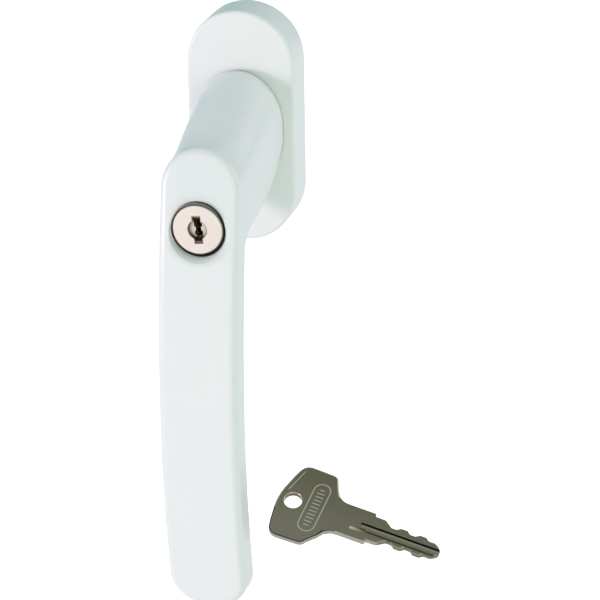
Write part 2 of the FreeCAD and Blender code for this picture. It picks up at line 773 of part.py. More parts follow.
def drive_cam():
    """Barrel cam on the plug's square: a quarter-turn helical groove moves the carrier."""
    cam = rod(cam_radius, cam_end_out, cam_front_out, 0, lock_z)
    side = drive_side + 2 * cam_gap
    square = block(side, side, tail_end_out - drive_length - 0.2, cam_front_out + 1, 0, lock_z)
    cam = cam.cut(leaned(square))
    pitch = bolt_travel * 360 / bolt_turn
    middle = cam_radius - groove_depth / 2 + 0.5
    path = Part.makeHelix(pitch, bolt_travel, middle)
    deep = groove_depth / 2 + 0.5
    corners = [V(middle - deep, 0, -groove_half_width), V(middle + deep, 0, -groove_half_width),
               V(middle + deep, 0, groove_half_width), V(middle - deep, 0, groove_half_width)]
    groove = Part.Wire(path).makePipeShell([Part.makePolygon(corners + [corners[0]])], True, True)
    for angle, height in ((0.0, 0.0), (bolt_turn, bolt_travel)):
        end_radius = follower_radius + follower_room
        end = Part.makeCylinder(end_radius, 2 * deep, V(middle - deep, 0, 0), V(1, 0, 0))
        end.translate(V(0, 0, height))
        end.rotate(V(0, 0, 0), V(0, 0, 1), angle)
        groove = groove.fuse(end)
    groove = groove.mirror(V(0, 0, 0), V(0, 1, 0))
    groove.rotate(V(0, 0, 0), V(1, 0, 0), -90)
    groove.translate(V(0, -follower_out, lock_z))
    cam = cam.cut(groove)
    cam = cam.cut(rod(cam_screw_head + 0.1, cam_end_out - 1, cam_screw_seat, 0, lock_z))
    return cam.cut(rod(cam_screw_radius + 0.1, cam_end_out - 1, cam_front_out, 0, lock_z))


def cam_screw():
    """Small screw that holds the cam on the plug's square."""
    start = cam_screw_seat - cam_screw_head_height
    head = rod(cam_screw_head, start, cam_screw_seat - 0.02, 0, lock_z)
    screw = head.fuse(rod(cam_screw_radius, start + 0.3, tail_end_out - 0.6, 0, lock_z))
    return screw.cut(block(0.5, 2 * cam_screw_head + 1, start - 1, start + 0.4, 0, lock_z))


def bolt_carrier():
    """Cup round the cam: it can't turn, so its follower slides it along."""
    cup = rod(carrier_outer, carrier_end_out, carrier_front_out, 0, lock_z)
    cup = cup.fuse(carrier_key(0.0, carrier_end_out, carrier_front_out))
    cup = cup.cut(rod(carrier_inner, carrier_floor_out, carrier_front_out + 1, 0, lock_z))
    cup = cup.cut(follower_bar(follower_radius + 0.02, carrier_outer + 1))
    return cup.cut(rod(bolt_radius + 0.02, carrier_end_out - 1, carrier_floor_out + 1, 0, -bolt_circle))


def follower_bar(radius, reach):
    inner = cam_radius - groove_depth + 0.15
    return Part.makeCylinder(radius, reach - inner, V(inner, -follower_out, lock_z), V(1, 0, 0))


def follower_pin():
    """Pin of the carrier that runs in the cam's groove."""
    return follower_bar(follower_radius, carrier_outer - 0.02)


def locking_bolt():
    """Hardened pin, fixed in the carrier's floor, that enters the rosette."""
    pin = rod(bolt_radius, bolt_tip_out, carrier_floor_out - 0.02, 0, -bolt_circle)
    tip = [e for e in pin.Edges if abs(e.CenterOfMass.y + bolt_tip_out) < 0.01 and e.Closed]
    return pin.makeChamfer(0.35, tip)


def key_bow():
    """Plate of the bow: a back edge that comes to a blunt point, and flanks to the shank."""
    half = [(bow_back, 1.3), (bow_corner, bow_half_height), (bow_front, bow_half_height - 0.2),
            (bow_waist, shank_half_height + 0.9), (shank_start, shank_half_height)]
    upper = [V(u + bow_skew * (u == bow_corner), v, 0) for u, v in half]
    lower = [V(u - bow_skew * (u == bow_corner), -v, 0) for u, v in reversed(half)]
    plate = Part.Face(Part.makePolygon(upper + lower + [upper[0]])).extrude(V(0, 0, key_thickness))
    rounded = {bow_back: 3.0, bow_corner + bow_skew: bow_round, bow_corner - bow_skew: bow_round,
               bow_front: bow_round * 0.7, bow_waist: 1.2}
    for place, radius in rounded.items():
        edges = [e for e in upright_edges(plate, key_thickness) if abs(e.Vertexes[0].X - place) < 0.01]
        plate = plate.makeFillet(radius, edges)
    return plate


def upright_edges(solid, height):
    """Edges that cross a flat plate from face to face."""
    return [e for e in solid.Edges if abs(e.Vertexes[0].Z - e.Vertexes[-1].Z) > 0.9 * height]


def key_blade():
    """Shank and blade, cut alike on both edges, as double-sided wafer keys are."""
    first = key_stop + (cap_front_out - plug_front_out) + wafer_first
    steps = [(shank_start - 1, shank_half_height), (shoulder, shank_half_height),
             (shoulder + 0.3, blade_half_height), (key_stop - 0.6, blade_half_height - 0.05),
             (key_stop, key_slot_height / 2 + 0.04)]
    for index, cut in enumerate(key_cuts):
        centre = first + wafer_pitch * index
        steps.append((centre - cut_flat, cut))
        steps.append((centre + cut_flat, cut))
    steps.append((key_tip - 1.5, 2.0))
    steps.append((key_tip, 0.6))
    upper = [V(u, v, 0) for u, v in steps]
    lower = [V(u, -v, 0) for u, v in reversed(steps)]
    return Part.Face(Part.makePolygon(upper + lower + [upper[0]])).extrude(V(0, 0, key_thickness))


def key():
    """Flat key, made flat and then laid where it floats beside the grip."""
    body = key_bow().fuse(key_blade()).removeSplitter()
    body = body.cut(Part.makeCylinder(key_hole_radius, 3 * key_thickness, V(0, 0, -key_thickness)))
    for low in (key_thickness - key_panel_depth, key_panel_depth - 1.0):
        body = body.cut(key_panel(low))
    for ward, width, start in key_wards:
        front = V(start, ward - width / 2, key_thickness - key_groove_depth)
        back = V(start, -ward - width / 2, key_groove_depth - 1.0)
        for corner in (front, back):
            body = body.cut(Part.makeBox(key_tip, width, 1.0, corner))
    body.translate(V(0, 0, -key_thickness / 2))
    body.rotate(V(0, 0, 0), V(0, 0, 1), key_turn)
    body.rotate(V(0, 0, 0), V(1, 0, 0), key_lean)
    body.rotate(V(0, 0, 0), V(0, 0, 1), key_bearing)
    body.translate(key_place)
    return body


def key_panel(low):
    """Bare sunk panel across the bow."""
    corner = V(key_panel_start, -key_panel_length / 2, low)
    panel = Part.makeBox(key_panel_width, key_panel_length, 1.0, corner)
    return panel.makeFillet(key_panel_width * 0.42, upright_edges(panel, 1.0))


pieces = {
    "rosette_cover": rosette_cover,
    "rosette_base": rosette_base,
    "fixing_screws": fixing_screws,
    "square_spindle": square_spindle,
    "spindle_pin": spindle_pin,
    "bearing_bush": bearing_bush,
    "index_cam": index_cam,
    "detent_spring": detent_spring,
    "thrust_plate": thrust_plate,
    "disc_spring": disc_spring,
    "retaining_ring": retaining_ring,
    "handle_body": handle_body,
    "lock_bezel": lock_bezel,
    "lock_housing": lock_housing,
    "lock_grub_screw": lock_grub_screw,
    "lock_plug": lock_plug,
    "plug_cap": plug_cap,
    "plug_clip": plug_clip,
    "wafers": wafers,
    "wafer_springs": wafer_springs,
    "drive_cam": drive_cam,
    "cam_screw": cam_screw,
    "bolt_carrier": bolt_carrier,
    "follower_pin": follower_pin,
    "locking_bolt": locking_bolt,
    "key": key,
}

os.makedirs("parts", exist_ok=True)
for name, make in pieces.items():
    shape = make()
    print(name, "valid" if shape.isValid() else "INVALID", len(shape.Solids), round(shape.Volume, 1))
    shape.exportStep("parts/" + name + ".step")
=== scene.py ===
import bpy
import math
from mathutils import Matrix, Vector


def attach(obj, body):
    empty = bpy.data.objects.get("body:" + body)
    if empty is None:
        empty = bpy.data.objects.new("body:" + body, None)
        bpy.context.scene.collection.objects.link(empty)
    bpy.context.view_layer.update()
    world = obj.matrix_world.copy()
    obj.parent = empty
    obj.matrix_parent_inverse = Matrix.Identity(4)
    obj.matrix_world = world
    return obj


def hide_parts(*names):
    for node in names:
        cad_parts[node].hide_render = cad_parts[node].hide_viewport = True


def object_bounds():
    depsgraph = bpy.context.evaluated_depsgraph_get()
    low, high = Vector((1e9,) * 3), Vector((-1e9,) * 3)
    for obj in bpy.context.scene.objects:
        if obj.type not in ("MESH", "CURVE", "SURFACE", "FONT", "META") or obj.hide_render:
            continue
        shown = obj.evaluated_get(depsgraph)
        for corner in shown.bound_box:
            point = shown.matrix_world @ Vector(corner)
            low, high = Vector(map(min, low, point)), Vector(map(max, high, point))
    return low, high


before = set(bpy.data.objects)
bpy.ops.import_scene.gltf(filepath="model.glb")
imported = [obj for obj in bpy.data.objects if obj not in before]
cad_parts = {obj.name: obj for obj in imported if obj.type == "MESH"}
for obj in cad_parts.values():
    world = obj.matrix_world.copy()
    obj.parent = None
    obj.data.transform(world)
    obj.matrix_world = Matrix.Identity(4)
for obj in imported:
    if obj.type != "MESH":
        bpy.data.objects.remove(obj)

cad_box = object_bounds()
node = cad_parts


# The base of the rosette: moulded from grey glass-filled nylon, so it has a faint speckle and a dull
# skin. It lies on the sash, holds the bearing bush of ivory acetal, and the cover snaps over it.
mm = 0.001
nylon_grey = (0.56, 0.57, 0.56)
acetal_ivory = (0.78, 0.77, 0.70)


class Shade:
    """One socket of a node tree; Python's operators on it add the Math nodes."""

    def __init__(self, nodes, socket):
        self.nodes = nodes
        self.socket = socket

    def join(self, operation, first, second):
        return self.nodes.add("ShaderNodeMath", {"operation": operation}, {0: first, 1: second})

    def __add__(self, other):
        return self.join("ADD", self, other)

    __radd__ = __add__

    def __mul__(self, other):
        return self.join("MULTIPLY", self, other)

    __rmul__ = __mul__

    def __sub__(self, other):
        return self.join("SUBTRACT", self, other)

    def __rsub__(self, other):
        return self.join("SUBTRACT", other, self)

    def __gt__(self, other):
        return self.join("GREATER_THAN", self, other)

    def __lt__(self, other):
        return self.join("LESS_THAN", self, other)

    def __pow__(self, other):
        return self.join("POWER", self, other)

    def __abs__(self):
        return self.nodes.add("ShaderNodeMath", {"operation": "ABSOLUTE"}, {0: self})

    def between(self, low, high):
        return (self > low) * (self < high)

    def limit(self):
        """The same value, kept from 0 to 1."""
        return self.nodes.add("ShaderNodeClamp", None, {"Value": self})


class Nodes:
    """A node tree that is built up one node at a time and drives its last node."""

    def __init__(self, tree, last):
        self.tree = tree
        self.last = tree.nodes[last]

    def add(self, kind, settings=None, values=None, output=0):
        made = self.tree.nodes.new(kind)
        for key, value in (settings or {}).items():
            if key == "stops":
                ramp = made.color_ramp
                while len(ramp.elements) < len(value):
                    ramp.elements.new(0.5)
                for stop, (place, colour) in zip(ramp.elements, value):
                    stop.position = place
                    stop.color = (*colour, 1.0)
            else:
                setattr(made, key, value)
        for key, value in (values or {}).items():
            if isinstance(value, Shade):
                self.tree.links.new(value.socket, made.inputs[key])
            else:
                made.inputs[key].default_value = value
        return Shade(self, made.outputs[output])

    def axes(self, where):
        """The three coordinates of a place."""
        return [self.add("ShaderNodeSeparateXYZ", None, {0: where}, index) for index in range(3)]

    def ramp(self, factor, stops):
        return self.add("ShaderNodeValToRGB", {"stops": stops}, {0: factor})

    def tint(self, factor, first, second):
        """The first colour, going over to the second by a factor."""
        values = {0: factor}
        for socket, colour in ((6, first), (7, second)):
            values[socket] = colour if isinstance(colour, Shade) else (*colour, 1.0)
        return self.add("ShaderNodeMix", {"data_type": "RGBA"}, values, output=2)

    def fix(self, name, value):
        self.last.inputs[name].default_value = value

    def drive(self, name, value):
        self.tree.links.new(value.socket, self.last.inputs[name])


class Finish(Nodes):
    """The material of one piece or more."""

    def __init__(self, name, metallic=0.0, specular=0.5):
        self.material = bpy.data.materials.new(name)
        self.material.use_nodes = True
        super().__init__(self.material.node_tree, "Principled BSDF")
        self.fix("Metallic", metallic)
        self.fix("Specular IOR Level", specular)

    def place(self, stretched=None):
        where = self.add("ShaderNodeTexCoord", output="Object")
        if stretched:
            where = self.add("ShaderNodeMapping", None, {"Vector": where, "Scale": stretched})
        return where

    def noise(self, scale, detail=2.0, where=None):
        values = {"Vector": where or self.place(), "Scale": scale, "Detail": detail}
        return self.add("ShaderNodeTexNoise", None, values)

    def bump(self, height, strength, distance):
        values = {"Strength": strength, "Distance": distance, "Height": height}
        self.drive("Normal", self.add("ShaderNodeBump", None, values))


def scaled(colour, share):
    return tuple(part * share for part in colour)


def moulded_plastic(name, colour, roughness, speckle):
    """Dull skin, a little cloudy, with the pale ends of glass fibres in it."""
    finish = Finish(name, specular=0.4)
    cloud = finish.noise(scale=140.0, detail=3.0)
    fibre = finish.noise(scale=2400.0, where=finish.place(stretched=(1.0, 1.0, 0.35)))
    skin = finish.tint(cloud, colour, scaled(colour, 0.93))
    finish.drive("Base Color", finish.tint((fibre > 0.62) * speckle, skin, scaled(colour, 1.25)))
    finish.drive("Roughness", roughness + cloud * 0.12)
    finish.bump(fibre, strength=0.2, distance=0.04 * mm)
    return finish.material


def dress(name, material):
    """Give a piece that the CAD made its finish."""
    node[name].data.materials.clear()
    node[name].data.materials.append(material)


dress("rosette_base", moulded_plastic("base_nylon", nylon_grey, roughness=0.48, speckle=0.35))
dress("bearing_bush", moulded_plastic("bush_acetal", acetal_ivory, roughness=0.36, speckle=0.0))


# The stop works behind the handle: a sintered square cam, a U spring of blued strip, a stamped and
# zinc-plated plate, a conical spring and an open ring, pushed on the boss from behind in that order.
sintered_grey = (0.42, 0.42, 0.41)
blued_steel = (0.30, 0.31, 0.34)
zinc_grey = (0.66, 0.67, 0.66)


def worked_metal(name, colour, roughness, grain=900.0, stretched=(1.0, 1.0, 1.0), depth=0.01 * mm):
    """Metal with the grain of how it was worked and with duller patches."""
    finish = Finish(name, metallic=1.0)
    lines = finish.noise(grain, detail=4.0, where=finish.place(stretched))
    patches = finish.noise(scale=160.0)
    lit_top = finish.tint(lines, colour, scaled(colour, 0.9))
    finish.drive("Base Color", finish.tint(patches, lit_top, scaled(colour, 0.84)))
    finish.drive("Roughness", roughness - 0.05 + lines * 0.08 + patches * 0.05)
    finish.bump(lines, strength=0.25, distance=depth)
    return finish.material


spring_strip = worked_metal("spring_strip", blued_steel, 0.28, grain=1500.0, stretched=(1.0, 1.0, 0.1))
dress("index_cam", worked_metal("sintered_steel", sintered_grey, 0.5, grain=3000.0, depth=0.03 * mm))
dress("thrust_plate", worked_metal("zinc_plate", zinc_grey, 0.34))
for name in ("detent_spring", "disc_spring", "retaining_ring"):
    dress(name, spring_strip)


# Two M5 fixing screws: cold-headed steel with a cross recess and a rolled thread, zinc plated.
# They go through the base's spigots into the window's gearbox, and the cover hides their heads.
screw_spacing = 43.0 * mm
screw_seat_y = -4.0 * mm
screw_length = 25.0 * mm
screw_shank_radius = 2.24 * mm
screw_root_radius = 2.03 * mm
screw_crest_radius = 2.48 * mm
screw_pitch = 0.8 * mm
screw_tip_bevel = 0.6 * mm
screw_head_radius = 4.6 * mm
screw_head_height = 2.9 * mm
screw_head_round = 1.25 * mm
screw_overlap = 0.3 * mm
recess_reach = 2.5 * mm
recess_half_width = 0.45 * mm
recess_depth = 1.7 * mm
recess_clearance = 0.5 * mm
thread_start_y = 5.7 * mm
thread_core_overlap = 0.2 * mm
thread_run_in = 0.5 * mm
thread_run_out = 1.6 * mm
thread_sunk_share = 0.4
thread_steps = 28
screw_turns = {"screw_upper": 0.2, "screw_lower": 1.1}
screw_plating = (0.70, 0.69, 0.64)


def only(piece):
    """Make one object the active and only selected one."""
    bpy.ops.object.select_all(action="DESELECT")
    piece.select_set(True)
    bpy.context.view_layer.objects.active = piece


def named(name):
    """Name the primitive that was just added, and its mesh."""
    piece = bpy.context.active_object
    piece.name = name
    piece.data.name = name
    return piece


def apply_place(piece):
    only(piece)
    bpy.ops.object.transform_apply(location=True, rotation=True, scale=True)


def finish_modifier(piece, kind, **settings):
    """Add one modifier with its settings and apply it."""
    only(piece)
    modifier = piece.modifiers.new(kind.lower(), kind)
    for key, value in settings.items():
        setattr(modifier, key, value)
    bpy.ops.object.modifier_apply(modifier=modifier.name)


def carve(piece, cutter):
    """Cut a piece with another one, and throw the cutter away."""
    finish_modifier(piece, "BOOLEAN", object=cutter, operation="DIFFERENCE", solver="EXACT")
    bpy.data.objects.remove(cutter, do_unlink=True)


def round_edges(piece, width, segments=2, angle=0.5):
    """Round every edge that turns by more than an angle."""
    settings = {"limit_method": "ANGLE", "angle_limit": angle, "use_clamp_overlap": False}
    finish_modifier(piece, "BEVEL", width=width, segments=segments, **settings)


def smooth(piece, angle=0.6):
    """Smooth shading that leaves large flat faces flat."""
    only(piece)
    bpy.ops.object.shade_smooth_by_angle(angle=angle)
    finish_modifier(piece, "WEIGHTED_NORMAL", keep_sharp=True, weight=100)


def bar(name, radius, start_y, end_y, z, sides=64):
    """Round bar along the spindle's direction, from one y to another."""
    bpy.ops.object.select_all(action="DESELECT")
    place = {"location": (0.0, (start_y + end_y) / 2, z), "rotation": (math.pi / 2, 0.0, 0.0)}
    bpy.ops.mesh.primitive_cylinder_add(vertices=sides, radius=radius, depth=abs(end_y - start_y), **place)
    piece = named(name)
    apply_place(piece)
    return piece


def box(name, low, high):
    """Rectangular block between two corners."""
    bpy.ops.object.select_all(action="DESELECT")
    middle = [(a + b) / 2 for a, b in zip(low, high)]
    bpy.ops.mesh.primitive_cube_add(size=1.0, location=middle)
    piece = named(name)
    piece.scale = [abs(b - a) for a, b in zip(low, high)]
    apply_place(piece)
    return piece


def bevel_edges(piece, wanted, width, segments=1):
    """Bevel the edges that a test of their two ends picks."""
    only(piece)
    bpy.ops.object.mode_set(mode="EDIT")
    bpy.ops.mesh.select_mode(type="EDGE")
    bpy.ops.mesh.select_all(action="DESELECT")
    bpy.ops.object.mode_set(mode="OBJECT")
    for edge in piece.data.edges:
        edge.select = wanted(*(piece.data.vertices[i].co for i in edge.vertices))
    bpy.ops.object.mode_set(mode="EDIT")
    bpy.ops.mesh.bevel(offset=width, segments=segments, affect="EDGES")
    bpy.ops.object.mode_set(mode="OBJECT")


def bevel_rim(piece, y, width, segments=1):
    """Bevel the round edge of a bar's end at one y."""
    bevel_edges(piece, lambda a, b: abs(a.y - y) + abs(b.y - y) < 0.01 * mm, width, segments)


def join_to(piece, *others):
    only(piece)
    for other in others:
        other.select_set(True)
    bpy.ops.object.join()


def fit_out(piece, material, body, stands_for):
    """Finish, body, material slot and replaced node of a piece that is modelled here."""
    piece.data.materials.clear()
    piece.data.materials.append(material)
    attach(piece, body)
    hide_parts(stands_for)


def rolled_thread(z, tip_y):
    """Helical ridge, four-sided across, that is wound along the screw's core."""
    crest = (screw_crest_radius - screw_root_radius) / (1.0 + thread_sunk_share)
    middle = screw_root_radius + crest * thread_sunk_share
    bpy.ops.object.select_all(action="DESELECT")
    bpy.ops.mesh.primitive_circle_add(
        vertices=4, radius=crest, fill_type="NGON", location=(middle, 0.0, 0.0),
        rotation=(math.pi / 2, 0.0, 0.0),
    )
    thread = named("thread")
    apply_place(thread)
    finish_modifier(
        thread, "SCREW", angle=2 * math.pi, screw_offset=screw_pitch, steps=thread_steps,
        iterations=int((tip_y - thread_start_y - thread_run_out) / screw_pitch),
        render_steps=thread_steps, axis="Z", use_normal_calculate=True,
    )
    start = Matrix.Translation((0.0, thread_start_y + thread_run_in, z))
    thread.data.transform(start @ Matrix.Rotation(-math.pi / 2, 4, "X"))
    return thread


def fixing_screw(name, z):
    head_y = screw_seat_y - screw_head_height
    tip_y = screw_seat_y + screw_length
    screw = bar(name, screw_head_radius, screw_seat_y, head_y, z)
    bevel_rim(screw, head_y, screw_head_round, segments=6)
    for turn in (0.0, math.pi / 2):
        low = (-recess_reach, head_y - recess_clearance, -recess_half_width)
        high = (recess_reach, head_y + recess_depth, recess_half_width)
        arm = box("recess", low, high)
        turned = Matrix.Rotation(turn + screw_turns[name], 4, "Y")
        arm.data.transform(Matrix.Translation((0.0, 0.0, z)) @ turned)
        carve(screw, arm)
    shank = bar("shank", screw_shank_radius, screw_seat_y - screw_overlap, thread_start_y, z, 48)
    core = bar("core", screw_root_radius, thread_start_y - thread_core_overlap, tip_y, z, 48)
    bevel_rim(core, tip_y, screw_tip_bevel)
    join_to(screw, shank, core, rolled_thread(z, tip_y))
    smooth(screw)
    return screw


screw_zinc = worked_metal("screw_zinc", screw_plating, 0.3, grain=1200.0)
for name, side in (("screw_upper", 1), ("screw_lower", -1)):
    screw = fixing_screw(name, side * screw_spacing / 2)
    fit_out(screw, screw_zinc, "rosette", "fixing_screws")


# The rosette's cover: an aluminium shell with the fixing screws behind it, snapped on the base.
# Like the handle it has a white powder coat, baked on: satin, cool, with a faint orange peel.
coat_white = (0.86, 0.885, 0.875)


def powder_coat(name, painted_shade=None):
    finish = Finish(name)
    cloud = finish.noise(scale=60.0, detail=3.0)
    peel = finish.noise(scale=1100.0)
    coat = finish.tint(cloud, coat_white, scaled(coat_white, 0.985))
    # The optional function adds painted shade to the coat.
    finish.drive("Base Color", painted_shade(finish, coat) if painted_shade else coat)
    finish.drive("Roughness", 0.25 + cloud * 0.05 + peel * 0.04)
    finish.bump(peel, strength=0.07, distance=0.04 * mm)
    return finish.material


dress("rosette_cover", powder_coat("cover_white"))


# The handle: one aluminium casting of bowed grip, sloping neck and turned boss, powder coated white.
# Its boss turns in the bush, and a set screw holds the lock. Painted shade darkens the seam round the
# lock's ring and the ledge below it.
lock_z = -16.35 * mm
lock_face_y = -56.35 * mm
ring_radius = 8.05 * mm
# The black seam round the ring and the grey on the ledge below it are painted shade.
seam_radius = 8.12 * mm
seam_corner_growth = 0.3 * mm
seam_shade_black = (0.018, 0.018, 0.014)
ledge_depth = 2.5 * mm
ledge_shade_reach = 3.4 * mm
ledge_shade_drop = 5.2 * mm
ledge_shade_grey = (0.24, 0.29, 0.26)
ledge_shade_shares = ((0.03, 0.8), (0.18, 0.4), (0.32, 0.2), (0.456, 0.08), (0.5, 0.2), (0.65, 0.1), (0.94, 0.0))
oxide_black = (0.07, 0.07, 0.075)


def from_lock(finish):
    """Distance to the right of the lock's axis, y, and height above the axis."""
    across, out, up = finish.axes(finish.place())
    return across, out, up - lock_z


def lower_right(across, up):
    """How far a place lies towards the lower right of the lock's ring, 1 at its edge."""
    return (across * 0.8 - up * 0.6) * (1.0 / ring_radius)


def seam_and_ledge_shade(finish, coat):
    """Painted shade: a black seam round the lock's ring, wider at the lower right, and a dark grey on the
    ledge below it.
    """
    across, out, up = from_lock(finish)
    radius = (across * across + up * up) ** 0.5
    near_face = out < lock_face_y + ledge_depth
    stops = [(at, (share,) * 3) for at, share in ledge_shade_shares]
    spread = finish.ramp((radius - ring_radius) * (1.0 / ledge_shade_reach), stops)
    below = (up * (-1.0 / ledge_shade_drop) - 0.3).limit()
    ledge_shaded = finish.tint(spread * below * near_face, coat, ledge_shade_grey)
    growth = lower_right(across, up).limit() * seam_corner_growth
    seam = (radius < growth + seam_radius) * near_face
    return finish.tint(seam, ledge_shaded, seam_shade_black)


dress("handle_body", powder_coat("handle_white", seam_and_ledge_shade))
dress("lock_grub_screw", worked_metal("black_oxide", oxide_black, 0.4))


# The spindle: a square bar of drawn steel that works the window's gearbox, held in the boss by a
# slotted cross pin that is rolled from spring strip.
drawn_grey = (0.62, 0.63, 0.64)
along_spindle = (1.0, 0.03, 1.0)

drawn_steel = worked_metal("drawn_steel", drawn_grey, 0.32, grain=1800.0, stretched=along_spindle)
dress("square_spindle", drawn_steel)
dress("spindle_pin", spring_strip)


# The bolt works inside the neck: a zinc barrel cam and cup, and ground steel pins. They are die cast
# or turned, and drop in from the front before the lock's barrel, which is zinc too.
cast_grey = (0.48, 0.48, 0.47)
ground_grey = (0.60, 0.60, 0.61)

cast_zinc = worked_metal("cast_zinc", cast_grey, 0.42, grain=700.0, depth=0.03 * mm)
ground_steel = worked_metal("ground_steel", ground_grey, 0.22, grain=2400.0, stretched=along_spindle)
for name in ("drive_cam", "bolt_carrier", "lock_housing"):
    dress(name, cast_zinc)
for name in ("follower_pin", "locking_bolt"):
    dress(name, ground_steel)


# The lock's ring: turned brass with a black nickel plating, pressed into the grip's bore.
# A thin lip stands round the cap, and its top is lighter grey, a painted highlight.
ring_lip = 0.3 * mm
ring_depth = 3.6 * mm
ring_hub_radius = 7.03 * mm
ring_step_y = -55.62 * mm
ring_round = 0.11 * mm
lip_reach = 0.2 * mm
ring_black = (0.045, 0.045, 0.04)
# The darker corner is painted shade; the grey on the lip's top is a painted highlight.
ring_shaded_corner = (0.012, 0.012, 0.011)
ring_lit_grey = (0.30, 0.29, 0.25)
before_face_y = lock_face_y - mm
ring_back_y = lock_face_y + ring_depth

ring = bar("lock_ring", ring_radius, ring_back_y, lock_face_y, lock_z, 128)
carve(ring, bar("lip", ring_radius - ring_lip, ring_step_y, before_face_y, lock_z, 128))
carve(ring, bar("hub", ring_hub_radius, ring_back_y + mm, before_face_y, lock_z, 96))
round_edges(ring, ring_round, segments=3)
smooth(ring)


def black_nickel(name):
    """Black plating, lighter grey on the top of the lip as a painted highlight and darkest at the lower
    right as painted shade.
    """
    finish = Finish(name, metallic=1.0)
    grain = finish.noise(scale=2600.0, detail=3.0)
    across, out, up = from_lock(finish)
    upper = ((up * 0.95 - across * 0.35) * (1.6 / ring_radius) - 0.3).limit()
    lit_top = upper * (out < lock_face_y + lip_reach)
    shaded_plating = finish.tint((lower_right(across, up) * 1.2).limit(), ring_black, ring_shaded_corner)
    finish.drive("Base Color", finish.tint(lit_top, shaded_plating, ring_lit_grey))
    finish.drive("Roughness", 0.28 + grain * 0.08)
    finish.bump(grain, strength=0.2, distance=0.004 * mm)
    return finish.material


fit_out(ring, black_nickel("ring_nickel"), "handle", "lock_bezel")


# The cap: a turned disc with a bevelled edge, bead-blasted and nickelled to a warm satin, fixed on
# the plug. The key passes its slot, and a hole shows the plug's own face.
cap_radius = 7.66 * mm
cap_bevel = 0.5 * mm
cap_front_y = -56.47 * mm
cap_thickness = 0.7 * mm
cap_round = 0.05 * mm
key_hole_radius = 2.95 * mm
key_slot_width = 2.6 * mm
key_slot_height = 8.4 * mm
plug_lean = math.radians(5.5)
through_cap_y = -100.0 * mm
satin_colour = (0.816, 0.739, 0.666)
# The bevel's cream on the right is a painted highlight, and its grey above is painted shade.
rim_highlight_cream = (0.80, 0.74, 0.66)
rim_shade_grey = (0.42, 0.40, 0.34)

cap = bar("lock_cap", cap_radius, cap_front_y + cap_thickness, cap_front_y, lock_z, 128)
bevel_rim(cap, cap_front_y, cap_bevel)
carve(cap, bar("opening", key_hole_radius, 0.0, through_cap_y, lock_z, 96))
slot_low = (-key_slot_width / 2, through_cap_y, lock_z - key_slot_height / 2)
slot_high = (key_slot_width / 2, 0.0, lock_z + key_slot_height / 2)
slot_cutter = box("slot", slot_low, slot_high)
about_lock = Matrix.Translation((0.0, 0.0, lock_z))
slot_cutter.data.transform(about_lock @ Matrix.Rotation(-plug_lean, 4, "Y") @ about_lock.inverted())
carve(cap, slot_cutter)
round_edges(cap, cap_round)
smooth(cap)


def satin_nickel(name, colour):
    """Blasted nickel; the bevel has painted shade of grey above and a painted cream highlight on the
    right.
    """
    finish = Finish(name, metallic=1.0)
    blast = finish.noise(scale=3200.0, detail=3.0)
    cloud = finish.noise(scale=180.0)
    across, out, up = from_lock(finish)
    face = finish.tint(cloud, colour, scaled(colour, 0.96))
    right = (across * (1.3 / cap_radius) - 0.2).limit()
    above = ((up * 0.95 - across * 0.2) * (1.5 / cap_radius)).limit()
    rim = finish.tint(above, finish.tint(right, face, rim_highlight_cream), rim_shade_grey)
    bevelled = (across * across + up * up) > (cap_radius - cap_bevel) ** 2
    finish.drive("Base Color", finish.tint(bevelled, face, rim))
    finish.drive("Roughness", 0.44 + blast * 0.06)
    finish.bump(blast, strength=0.3, distance=0.01 * mm)
    return finish.material


fit_out(cap, satin_nickel("cap_nickel", satin_colour), "plug", "plug_cap")


# The plug, its wafers and the cam's screw: turned and stamped brass, dulled by the years; the wafers'
# brass is darkened further as painted shade inside the keyway. The plug's sunk face is nickelled with the
# cap and darkens towards its rim as painted shade, and its front below the opening is a darker brownish
# grey. A clip and coils of spring steel hold it in the barrel and press its wafers out.
plug_yellow = (0.50, 0.37, 0.15)
# The wafers' dull brass is darkened further as painted shade inside the keyway.
wafer_brass_shaded = (0.17, 0.13, 0.07)
screw_yellow = (0.55, 0.42, 0.18)
face_nickel = (0.78, 0.71, 0.66)
# The sunk face's dark rim is painted shade.
face_rim_shade = (0.05, 0.04, 0.035)
# The plug's front below the opening is a darker brownish grey.
lower_slot_brown_grey = (0.24, 0.19, 0.17)
face_radius = key_hole_radius + 0.1 * mm
face_depth = 1.9 * mm
lower_slot_start = 0.4 * key_hole_radius


def dulled_brass(name, colour, faced=False):
    """Stained brass; with faced, the front is nickelled where the cap's opening shows it, darkening
    towards the rim as painted shade, and a darker brownish grey below the opening.
    """
    finish = Finish(name, metallic=1.0)
    grain = finish.noise(scale=1500.0, detail=3.0)
    stain = finish.noise(scale=420.0, detail=3.0)
    brass = finish.tint(stain, colour, scaled(colour, 0.72))
    if faced:
        across, out, up = from_lock(finish)
        front = out < cap_front_y + face_depth
        spread = (across * across + up * up) * (1.0 / face_radius ** 2)
        nickel = finish.tint(spread ** 1.6, face_nickel, face_rim_shade)
        brass = finish.tint((up < -lower_slot_start) * front, brass, lower_slot_brown_grey)
        brass = finish.tint((spread < 1.0) * front, brass, nickel)
    finish.drive("Base Color", brass)
    finish.drive("Roughness", 0.26 + grain * 0.12)
    finish.bump(grain, strength=0.2, distance=0.01 * mm)
    return finish.material


dress("lock_plug", dulled_brass("plug_brass", plug_yellow, faced=True))
dress("wafers", dulled_brass("wafer_brass", wafer_brass_shaded))
dress("cam_screw", dulled_brass("cam_screw_brass", screw_yellow))
for name in ("plug_clip", "wafer_springs"):
    dress(name, spring_strip)


